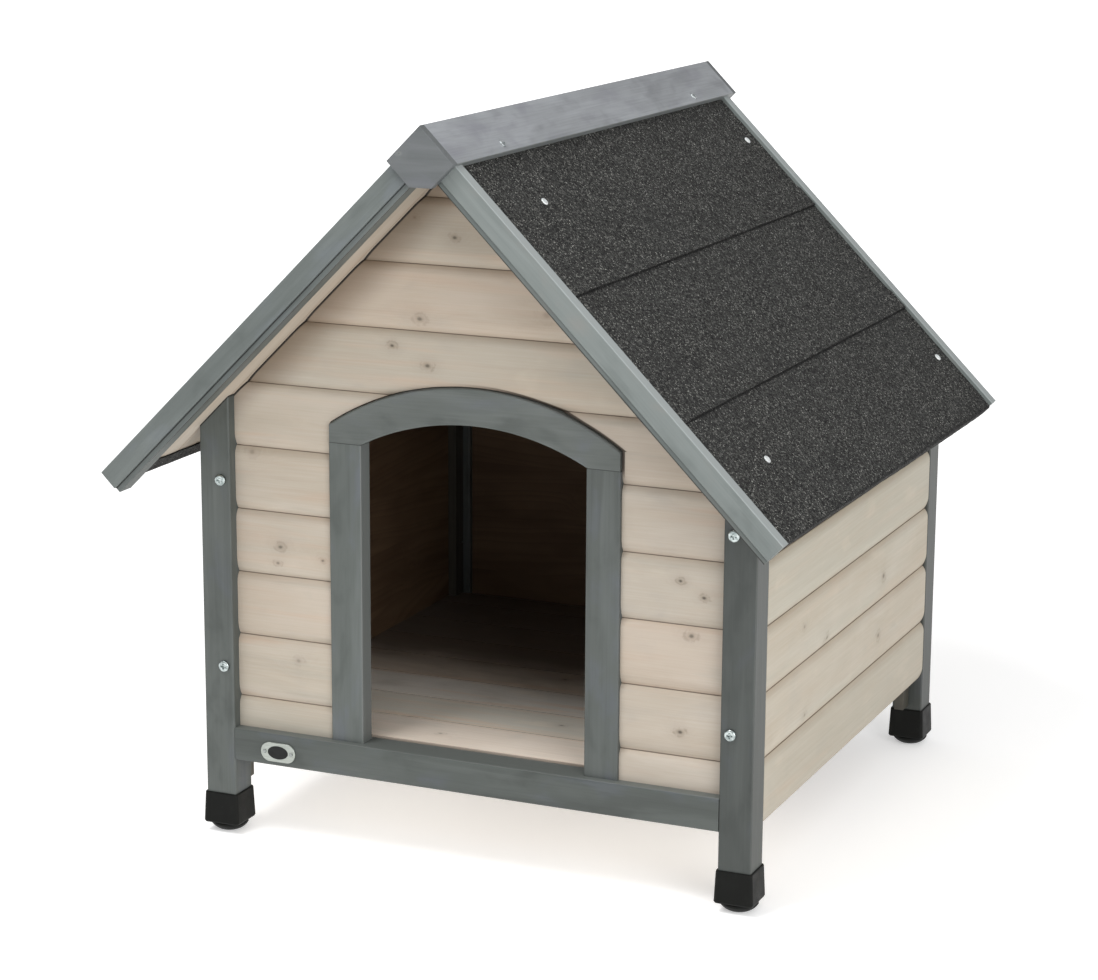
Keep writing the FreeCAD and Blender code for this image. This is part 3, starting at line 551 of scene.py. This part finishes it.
# painted light and shade: both jambs share one grey paint but the left has a higher gain, and the line over each inner
# face is a painted lighter tone, lighter on the left
for side, sx, seed, gain, inner_face_light in (("left", -1, 54, 0.94, (108, 111, 109)), ("right", 1, 55, 0.76, (88, 92, 90))):
    mat = grey_wood("grey_jamb_" + side, Z3, X3, Y3, seed, gain=gain, base=(82, 87, 84), light=(98, 103, 101), dark=(66, 71, 68),
                    tint=(92, 97, 102), edges=[(X3, sx * 138.25, 17.75, Y3, -253.5, 9.5)],
                    strips=[(X3, sx * 120.5, 1.2, inner_face_light, 0.80), (Z3, 426.2, 0.5, (40, 44, 42), 0.9)])
    put_material("door_jamb_" + side, mat)
mat = grey_wood("grey_arch", X3, Z3, Y3, 57, wash=0.7, base=(90, 95, 92), light=(112, 117, 115), dark=(74, 79, 76),
                tint=(100, 105, 110), strips=[(Z3, 426.2, 0.5, (40, 44, 42), 0.9)])
put_material("door_arch", mat)
mat = grey_wood("grey_wall_batten", Z3, X3, Y3, 59, base=(70, 68, 60), light=(88, 85, 76), dark=(54, 52, 46),
                tint=(74, 72, 66), edges=[(X3, 277.5, 5.0, Y3, -227.0, 10.0), (X3, 277.5, 5.0, Y3, 289.0, 10.0)])
put_material(["right_wall_batten_front", "right_wall_batten_back", "left_wall_batten_front", "left_wall_batten_back"], mat)

for i, (side, S, D, sg) in enumerate((("right", SR, DR, 1), ("left", SL, DL, -1))):
    if sg > 0:
        base, lit, dark, tint = (116, 123, 121), (134, 141, 139), (98, 105, 103), (132, 133, 129)
    else:
        base, lit, dark, tint = (92, 98, 96), (110, 116, 114), (78, 84, 82), (102, 108, 111)
    for j, (end, y0, y1) in enumerate((("front", -366, -351), ("back", 341, 356))):
        kn = [(-258, 9, 3.4, 0.6), (-410, 12, 3.6, 0.3)] if (end == "front" and sg < 0) else [(-335, 14, 3.6, 0.9)]
        # painted highlight: the light line at the verge top covers the top face and colours it lighter, as lit from
        # above
        mat = grey_wood("grey_verge_%s_%s" % (end, side), S, D, Y3, 61 + i * 2 + j, base=base, light=lit, dark=dark,
                        tint=tint, rough=0.46, gain=0.73 if sg > 0 else 0.84, edges=[(D, 10.7 - RIDGE_D, 10.7, Y3, (y0 + y1) / 2, 7.5)],
                        strips=[(D, -RIDGE_D, 0.9, (170, 176, 176), 0.75)])
        put_material("verge_%s_%s" % (end, side), mat)
        # painted shadow: dark lines in the joint between verge and strip and, on the right, where the strip meets the
        # boards; on the left a dark line along the strip's front lower edge
        mat = grey_wood("grey_strip_%s_%s" % (end, side), S, D, Y3, 67 + i * 2 + j, base=tuple(c - (26 if sg > 0 else 6) for c in base),
                        light=tuple(c - (22 if sg > 0 else 2) for c in lit), dark=tuple(c - (20 if sg > 0 else 4) for c in dark),
                        tint=tuple(c - (24 if sg > 0 else 6) for c in tint),
                        strips=[(D, 21.4 - RIDGE_D, 1.6, (30, 32, 30), 1.0)] + (
                            [(D, 27.1 - RIDGE_D, 1.7, (36, 36, 33), 0.92)] if sg > 0 else
                            [(Y3, -360.9 if end == "front" else 350.9, 1.1, (34, 35, 32), 0.9)]))
        put_material("verge_strip_%s_%s" % (end, side), mat)
    # painted shade: the dark line at the lower end of each cap board darkens its edge face
    mat = grey_wood("grey_ridge_" + side, Y3, S, D, 73 + i, base=(124, 127, 130), light=(144, 147, 151), dark=(98, 100, 104),
                    tint=(113, 114, 121), rough=0.44, wash=0.8, gain=1.02,
                    edges=[(S, 22.65 - RIDGE_D, 22.65, D, 0.4 - RIDGE_D, 3.6)],
                    strips=[(S, 45.3 - RIDGE_D, 0.6, (92, 96, 94), 0.8)])
    put_material("ridge_cap_" + side, mat)
mat = grey_wood("grey_ridge_end", X3, Z3, Y3, 77, base=(97, 101, 102), light=(112, 115, 117), dark=(86, 89, 90),
                tint=(106, 108, 114), wash=0.8, gain=0.71, knots=[(-21, 731, 2.6, 0.8)])
put_material(["ridge_end_front", "ridge_end_back"], mat)

# ------------------------------------------------------------------ metal, plastic
def zinc(name, lo, hi, rough_lo, rough_hi):
    mat, t, bsdf = material(name)
    co = t.add("ShaderNodeTexCoord").outputs["Object"]
    fine = t.noise(co, 900.0, 3.0, 0.6)
    cloud = t.noise(co, 260.0, 2.0, 0.5)
    t.put(bsdf.inputs["Base Color"], t.mix(t.smooth(cloud, 0.3, 0.7), rgba(hi), rgba(lo)))
    t.put(bsdf.inputs["Roughness"], t.remap(fine, 0.3, 0.7, rough_lo, rough_hi))
    bsdf.inputs["Metallic"].default_value = 1.0
    t.put(bsdf.inputs["Normal"], t.bump(fine, 0.00008, 0.5))
    return mat


put_material("post_screws", zinc("zinc_pan_heads", (128, 138, 137), (190, 198, 197), 0.16, 0.30))
put_material("roof_screws", zinc("zinc_flat_heads", (232, 236, 236), (248, 250, 250), 0.40, 0.60))
put_material("ridge_screws", zinc("zinc_ridge_heads", (150, 156, 158), (206, 211, 212), 0.34, 0.52))
put_material("plate_rivets", zinc("rivet_steel", (128, 132, 130), (158, 162, 160), 0.22, 0.36))

mat, t, bsdf = material("plate_metal")
co = t.add("ShaderNodeTexCoord").outputs["Object"]
x, y, z = t.split(co)
brush = t.noise(t.xyz(t.math("MULTIPLY", x, 60.0), t.math("MULTIPLY", z, 2400.0), 0.0), 1.0, 3.0, 0.6)
fine = t.noise(co, 500.0, 3.0, 0.6)
t.put(bsdf.inputs["Base Color"], t.mix(t.smooth(brush, 0.3, 0.7), rgba((180, 185, 179)), rgba((150, 155, 149))))
t.put(bsdf.inputs["Roughness"], t.remap(fine, 0.3, 0.7, 0.30, 0.46))
bsdf.inputs["Metallic"].default_value = 1.0
t.put(bsdf.inputs["Normal"], t.bump(brush, 0.00004, 0.6))
put_material("name_plate", mat)
plate_mat = mat

mat, t, bsdf = material("black_moulded_plastic")
co = t.add("ShaderNodeTexCoord").outputs["Object"]
grain = t.noise(co, 1400.0, 3.0, 0.6)
dust = t.noise(co, 70.0, 4.0, 0.6)
scuff = t.noise(co, 240.0, 2.0, 0.7, 1.2)
c = t.mix(t.smooth(dust, 0.42, 0.78), rgba((13, 14, 12)), rgba((21, 22, 20)))
c = t.mix(t.math("MULTIPLY", t.smooth(scuff, 0.64, 0.82), 0.22), c, rgba((70, 70, 66)))
t.put(bsdf.inputs["Base Color"], c)
t.put(bsdf.inputs["Roughness"], t.remap(dust, 0.3, 0.7, 0.40, 0.56))
bsdf.inputs["Specular IOR Level"].default_value = 0.14
t.put(bsdf.inputs["Normal"], t.bump(grain, 0.00012, 0.5))
put_material([n for n in NODES if n.startswith("foot_")], mat)

# ------------------------------------------------------------------ felt
felt_mat, t, bsdf = material("mineral_felt")
co = t.add("ShaderNodeTexCoord").outputs["Object"]
cells = t.voronoi(co, 640.0)
cell_r, cell_g, cell_b = t.split(cells.outputs["Color"])
fine = t.voronoi(co, 1050.0)
fr_, fg_, fb_ = t.split(fine.outputs["Color"])
patch = t.noise(co, 9.0, 4.0, 0.55, 0.3)
patch2 = t.noise(co, 38.0, 3.0, 0.6, 0.6)
c = t.mix(t.smooth(cell_r, 0.15, 0.85), rgba((10, 10, 10)), rgba((68, 68, 66)))
c = t.mix(t.smooth(cell_g, 0.84, 0.93), c, rgba((112, 112, 108)))
c = t.mix(t.math("MULTIPLY", t.smooth(fg_, 0.60, 0.90), 0.75), c, rgba((8, 8, 8)))
c = t.mix(t.smooth(fr_, 0.970, 0.990), c, rgba((190, 190, 184)))
c = t.mix(t.math("MULTIPLY", t.smooth(patch, 0.42, 0.74), 0.18), c, rgba((52, 53, 53)))
c = t.mix(t.math("MULTIPLY", t.smooth(patch2, 0.55, 0.80), 0.10), c, rgba((54, 52, 46)))
# faint rub marks that run down the slope
x, y, z = t.split(co)
rub = t.noise(t.xyz(t.math("MULTIPLY", t.math("ABSOLUTE", x), 3.0), t.math("MULTIPLY", y, 90.0), t.math("MULTIPLY", z, 3.0)), 1.0, 2.0, 0.6, 0.6)
c = t.mix(t.math("MULTIPLY", t.smooth(rub, 0.68, 0.80), 0.10), c, rgba((96, 96, 94)))
c = t.scale_color(c, 0.74)
# painted shadow: a dark uneven line below each lap; the fold at the eave has lost its granules and is painted darker,
# partly as painted shade
down = t.math("MULTIPLY", t.math("ADD", t.math("SUBTRACT", t.math("ABSOLUTE", x), z), 0.753 - GROUND * MM), C45)
jag = t.noise(t.xyz(t.math("MULTIPLY", y, 120.0), 0.0, 0.0), 1.0, 3.0, 0.6)
jag2 = t.noise(t.xyz(t.math("MULTIPLY", y, 22.0), 4.0, 0.0), 1.0, 2.0, 0.6)
for seam in (0.2047, 0.3580):
    gap = t.math("ABSOLUTE", t.math("SUBTRACT", down, t.math("MULTIPLY_ADD", jag, 0.0024, seam - 0.0004)))
    width = t.remap(jag2, 0.3, 0.7, 0.0004, 0.0011)
    c = t.mix(t.math("MULTIPLY", t.smooth(gap, t.math("ADD", width, 0.0005), width), 0.88), c, rgba((8, 8, 8)))
worn_and_shaded_fold = t.smooth(down, t.math("MULTIPLY_ADD", jag, 0.0030, 0.4965), t.math("MULTIPLY_ADD", jag, 0.0030, 0.4990))
c = t.mix(t.math("MULTIPLY", worn_and_shaded_fold, 0.70), c, rgba((14, 13, 13)))
# the part turned under the eave is plain bitumen, with few granules, and painted darker still as painted shade under
# the eave
depth = t.math("MULTIPLY", t.math("SUBTRACT", t.math("SUBTRACT", 0.753 - GROUND * MM, z), t.math("ABSOLUTE", x)), C45)
c = t.mix(t.smooth(depth, 0.008, 0.015, 0.0, 0.60), c, rgba((9, 9, 8)))
t.put(bsdf.inputs["Base Color"], c)
t.put(bsdf.inputs["Roughness"], t.remap(cell_b, 0.0, 1.0, 0.60, 0.95))
bsdf.inputs["Specular IOR Level"].default_value = 0.22
hgt = t.math("ADD", t.math("MULTIPLY", t.math("SUBTRACT", 1.0, cells.outputs["Distance"]), 0.7), t.math("MULTIPLY", cell_g, 0.6))
hgt = t.math("ADD", hgt, t.math("MULTIPLY", patch2, 0.5))
t.put(bsdf.inputs["Normal"], t.bump(hgt, 0.0007, 1.0))

PEAK = 753.0
DY0, DY1 = -351.0, 341.0
SEAM1, SEAM2, LAP = 204.7, 358.0, 25.0
D0, TH = 4.0, 1.5
EAVE = 499.5
DECK_D1 = 16.7


def n1(a, b, seed, scale):
    return noise.noise(Vector((a * scale, b * scale, seed)))


def place(s, y, d, sign):
    return (sign * (s - d) * C45 * MM, y * MM, (PEAK - GROUND - (s + d) * C45) * MM)


def bulge(y, seed):
    """How far the fold of the felt stands off the eave, in mm."""
    f = (y - DY0) / (DY1 - DY0)
    f = f * f * (3 - 2 * f)
    return max(0.1, 0.5 + 2.3 * f + 0.5 * n1(y, 6.6, seed, 0.012) + 0.3 * n1(y, 2.6, seed, 0.06) + 0.15 * n1(y, 1.6, seed, 0.3))


def sheet_mesh(name, outer, inner):
    """Closed thin sheet from two grids of points."""
    ni, nj = len(outer), len(outer[0])
    verts = [p for row in outer for p in row] + [p for row in inner for p in row]
    k = ni * nj
    faces = []
    for i in range(ni - 1):
        for j in range(nj - 1):
            a, b, c_, d_ = i * nj + j, i * nj + j + 1, (i + 1) * nj + j + 1, (i + 1) * nj + j
            faces.append((a, b, c_, d_))
            faces.append((k + d_, k + c_, k + b, k + a))
    for j in range(nj - 1):
        faces.append((j + 1, j, k + j, k + j + 1))
        a = (ni - 1) * nj + j
        faces.append((a, a + 1, k + a + 1, k + a))
    for i in range(ni - 1):
        a = i * nj
        faces.append((a, a + nj, k + a + nj, k + a))
        b = i * nj + nj - 1
        faces.append((b + nj, b, k + b, k + b + nj))
    me = bpy.data.meshes.new(name)
    me.from_pydata(verts, [], faces)
    bm = bmesh.new()
    bm.from_mesh(me)
    bmesh.ops.recalc_face_normals(bm, faces=bm.faces)
    bm.to_mesh(me)
    bm.free()
    for p in me.polygons:
        p.use_smooth = True
    me.set_sharp_from_angle(angle=math.radians(40))
    o = bpy.data.objects.new(name, me)
    scene.collection.objects.link(o)
    return o


def join_into(target, other):
    bm = bmesh.new()
    bm.from_mesh(target.data)
    bm.from_mesh(other.data)
    bm.to_mesh(target.data)
    bm.free()
    bpy.data.objects.remove(other)
    for p in target.data.polygons:
        p.use_smooth = True
    target.data.set_sharp_from_angle(angle=math.radians(40))


def felt_strip(name, sign, path, y0, y1, seed, lift_from=None, lift=0.0, ragged=0.0, step=4.0, fold=False):
    """path(s-like parameter) is a list of (s, d, normal) of the outer face."""
    pts = path
    ny = int((y1 - y0) / step) + 1
    outer, inner = [], []
    for i, (s, d, ns, nd, wave) in enumerate(pts):
        ro, ri = [], []
        last = i == len(pts) - 1
        for j in range(ny + 1):
            y = y0 + (y1 - y0) * j / ny
            edge = min(1.0, min(y - y0, y1 - y) / 12.0)
            wv = wave * edge * (0.32 * n1(s, y, seed, 0.018) + 0.14 * n1(s, y, seed + 7, 0.07))
            ds = 0.0
            if ragged:
                near = max(0.0, 1.0 - (len(pts) - 1 - i) / 3.0)
                ds = ragged * near * (n1(y, 3.1, seed, 0.05) + 0.8 * n1(y, 9.4, seed, 0.31) + 0.5 * n1(y, 1.7, seed, 0.9))
            up_ = 0.0
            if lift_from is not None and s > lift_from:
                f = (s - lift_from) / (pts[-1][0] - lift_from)
                up_ = lift * f * f * (0.55 + 0.75 * n1(y, 5.0, seed + 3, 0.022))
            off = max(0.0, wv) + up_
            so, do = s + ns * off + ds * (1 if ns == 0 else 0), d + nd * off
            if fold:
                f = min(1.0, max(0.0, (s - (EAVE - 14.0)) / 12.0))
                f = f * f * (3 - 2 * f)
                so = s + ns * off + f * bulge(y, seed)
                do = d + nd * off + f * 0.25 * bulge(y, seed) * (1 if ns < 0.99 else 0.3)
            yy = y
            if j == 0:
                yy += 0.5 + 0.4 * n1(s, 2.2, seed, 0.08)
            if j == ny:
                yy -= 0.5 + 0.4 * n1(s, 8.2, seed, 0.08)
            ro.append(place(so, yy, do, sign))
            ri.append(place(so - ns * TH, yy, do - nd * TH, sign))
        outer.append(ro)
        inner.append(ri)
    o = sheet_mesh(name, outer, inner)
    return o


def straight(s0, s1, d_at, step=4.0, wave=1.0, wave_from=60.0):
    n = max(2, int((s1 - s0) / step))
    out = []
    for i in range(n + 1):
        s = s0 + (s1 - s0) * i / n
        wv = wave * min(1.0, max(0.0, (s - wave_from) / 25.0))
        out.append((s, d_at(s), 0.0, -1.0, wv))
    return out


def lap_depth(seam):
    def f(s):
        a = min(1.0, max(0.0, (s - (seam - LAP - 4.0)) / 4.0))
        return D0 - (TH + 0.02) * a * a * (3 - 2 * a)
    return f


for sign, side in ((1, "right"), (-1, "left")):
    sd = 11.0 if sign > 0 else 47.0
    up_o = felt_strip("felt_sheet_upper_" + side, sign,
                      straight(2.0, SEAM1, lap_depth(SEAM1)), DY0, DY1, sd, SEAM1 - 14.0, 0.9, 0.8)
    mid_o = felt_strip("felt_sheet_middle_" + side, sign,
                       straight(SEAM1 - LAP + 1.0, SEAM2, lap_depth(SEAM2), wave_from=SEAM1 - 4.0),
                       DY0, DY1, sd + 3.3, SEAM2 - 14.0, 0.9, 0.8)
    # lower sheet: over the eave and down its face
    p = straight(SEAM2 - LAP + 1.0, EAVE - 1.0, lambda s: D0, wave_from=SEAM2 - 4.0)
    r = 2.3
    for k in range(1, 7):
        a = math.radians(15 * k)
        p.append((EAVE + TH - r + r * math.sin(a), D0 + r - r * math.cos(a), math.sin(a), -math.cos(a), 0.0))
    for d in (8.0, 11.0, 14.0, 16.6):
        p.append((EAVE + TH, d, 1.0, 0.0, 0.0))
    low_o = felt_strip("felt_sheet_lower_" + side, sign, p, DY0, DY1, sd + 6.1, fold=True)
    # turned under the eave between the verge strips
    q_ = []
    r = 2.0
    for k in range(0, 7):
        a = math.radians(15 * k)
        q_.append((EAVE + TH - r + r * math.cos(a), DECK_D1 + TH - r + r * math.sin(a), math.cos(a), math.sin(a), 0.0))
    for k in range(1, 6):
        q_.append((EAVE - 0.5 - k * 3.9, DECK_D1 + TH, 0.0, 1.0, 0.0))
    ny = 170
    outer, inner = [], []
    for i, (s, d, ns, nd, _w) in enumerate(q_):
        ro, ri = [], []
        near = max(0.0, 1.0 - (len(q_) - 1 - i) / 3.0)
        for j in range(ny + 1):
            y = -341.6 + (332.6 + 341.6) * j / ny
            ds = near * (1.6 * n1(y, 3.1, sd, 0.03) + 1.1 * n1(y, 9.4, sd, 0.2) + 0.8 * n1(y, 1.7, sd, 0.7))
            sag = 0.35 * max(0.0, n1(y, 4.4, sd, 0.03)) * near
            back = min(1.0, max(0.0, (s - (EAVE - 14.0)) / 12.0)) * bulge(y, sd + 6.1)
            ro.append(place(s + ds + back, y, d + sag, sign))
            ri.append(place(s + ds + back - ns * TH, y, d - nd * TH + sag, sign))
        outer.append(ro)
        inner.append(ri)
    turn = sheet_mesh("turn_" + side, outer, inner)
    join_into(low_o, turn)
    for o, node in ((up_o, "felt_upper_"), (mid_o, "felt_middle_"), (low_o, "felt_lower_")):
        o.data.materials.clear()
        o.data.materials.append(felt_mat)
        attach(o, "house")
        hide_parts(node + side)

# ------------------------------------------------------------------ plate field
def stadium(cx, cz, half_l, half_h, n=18):
    pts = []
    r = half_h
    for k in range(n + 1):
        a = -math.pi / 2 + math.pi * k / n
        pts.append((cx + half_l - r + r * math.cos(a), cz + r * math.sin(a)))
    for k in range(n + 1):
        a = math.pi / 2 + math.pi * k / n
        pts.append((cx - half_l + r + r * math.cos(a), cz + r * math.sin(a)))
    return pts


def ellipse_ring(cx, cz, a, b, n=48):
    return [(cx + a * math.cos(2 * math.pi * k / n), cz + b * math.sin(2 * math.pi * k / n)) for k in range(n)]


def loft_plate(name, rings, mat_):
    """Rings are (outline points, y); the first is at the back, the last is capped."""
    verts, faces = [], []
    n = len(rings[0][0])
    for pts, y in rings:
        verts += [(x_ * MM, y * MM, z_ * MM) for x_, z_ in pts]
    for i in range(len(rings) - 1):
        for j in range(n):
            a, b = i * n + j, i * n + (j + 1) % n
            faces.append((a, b, b + n, a + n))
    faces.append(tuple(range(n))[::-1])
    faces.append(tuple((len(rings) - 1) * n + j for j in range(n)))
    me = bpy.data.meshes.new(name)
    me.from_pydata(verts, [], faces)
    bm = bmesh.new()
    bm.from_mesh(me)
    bmesh.ops.recalc_face_normals(bm, faces=bm.faces)
    bm.to_mesh(me)
    bm.free()
    o = bpy.data.objects.new(name, me)
    scene.collection.objects.link(o)
    me.materials.append(mat_)
    return o


mat, t, bsdf = material("dark_enamel")
co = t.add("ShaderNodeTexCoord").outputs["Object"]
n_a = t.noise(co, 800.0, 3.0, 0.6)
n_b = t.noise(co, 160.0, 2.0, 0.5)
t.put(bsdf.inputs["Base Color"], t.mix(t.smooth(n_b, 0.3, 0.7), rgba((15, 16, 15)), rgba((24, 26, 25))))
t.put(bsdf.inputs["Roughness"], t.remap(n_a, 0.3, 0.7, 0.40, 0.56))
bsdf.inputs["Specular IOR Level"].default_value = 0.25
t.put(bsdf.inputs["Normal"], t.bump(n_a, 0.00003, 0.6))
PLX, PLZ, PLY = -213.4, 98.7 - GROUND, -272.4
field = loft_plate("plate_field", [
    (ellipse_ring(PLX, PLZ, 11.6, 7.0), PLY + 0.30),
    (ellipse_ring(PLX, PLZ, 11.6, 7.0), PLY - 0.10),
    (ellipse_ring(PLX, PLZ, 11.3, 6.7), PLY - 0.22)], mat)
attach(field, "house")

# ------------------------------------------------------------------ studio
mat, t, bsdf = material("studio_floor")
co = t.add("ShaderNodeTexCoord").outputs["Object"]
fl = t.noise(co, 3.0, 2.0, 0.5)
t.put(bsdf.inputs["Base Color"], t.mix(fl, rgba((246, 246, 246)), rgba((243, 243, 243))))
bsdf.inputs["Roughness"].default_value = 0.9
bsdf.inputs["Emission Color"].default_value = (1.0, 1.0, 1.0, 1.0)
away = t.vmath("LENGTH", co)
t.put(bsdf.inputs["Emission Strength"], t.remap(away, 1.2, 3.5, 0.38, 0.95))
me = bpy.data.meshes.new("studio_floor")
me.from_pydata([(-30, -30, 0), (30, -30, 0), (30, 30, 0), (-30, 30, 0)], [], [(0, 1, 2, 3)])
me.materials.append(mat)
floor = bpy.data.objects.new("studio_floor", me)
scene.collection.objects.link(floor)

world = bpy.data.worlds.new("studio")
world.use_nodes = True
world.node_tree.nodes["Background"].inputs[0].default_value = (1.0, 1.0, 1.0, 1.0)
world.node_tree.nodes["Background"].inputs[1].default_value = 0.52
scene.world = world


def area(name, loc, target, size, power, color=(1, 1, 1)):
    d = bpy.data.lights.new(name, "AREA")
    d.shape = "RECTANGLE"
    d.size, d.size_y = size
    d.energy = power
    d.color = color
    o = bpy.data.objects.new(name, d)
    o.location = loc
    o.rotation_mode = "QUATERNION"
    o.rotation_quaternion = (Vector(target) - Vector(loc)).to_track_quat("-Z", "Y")
    scene.collection.objects.link(o)
    o.visible_camera = False
    return o


def aim(azimuth, elevation, distance):
    """A point seen from the middle of the house at an azimuth (0 in front, + to the right)."""
    a, e = math.radians(azimuth), math.radians(elevation)
    return (distance * math.sin(a) * math.cos(e), -0.1 - distance * math.cos(a) * math.cos(e), 0.35 + distance * math.sin(e))


MID = (0.0, -0.1, 0.35)
area("key_left", aim(-35, 60, 3.2), MID, (1.25, 1.25), 58.0)
area("key_right", aim(30, 50, 3.2), MID, (2.4, 2.4), 15.0)
area("fill_right", aim(50, 15, 3.4), MID, (2.0, 1.6), 50.0)
area("front", aim(15, 12, 3.6), MID, (1.8, 1.8), 2.5)
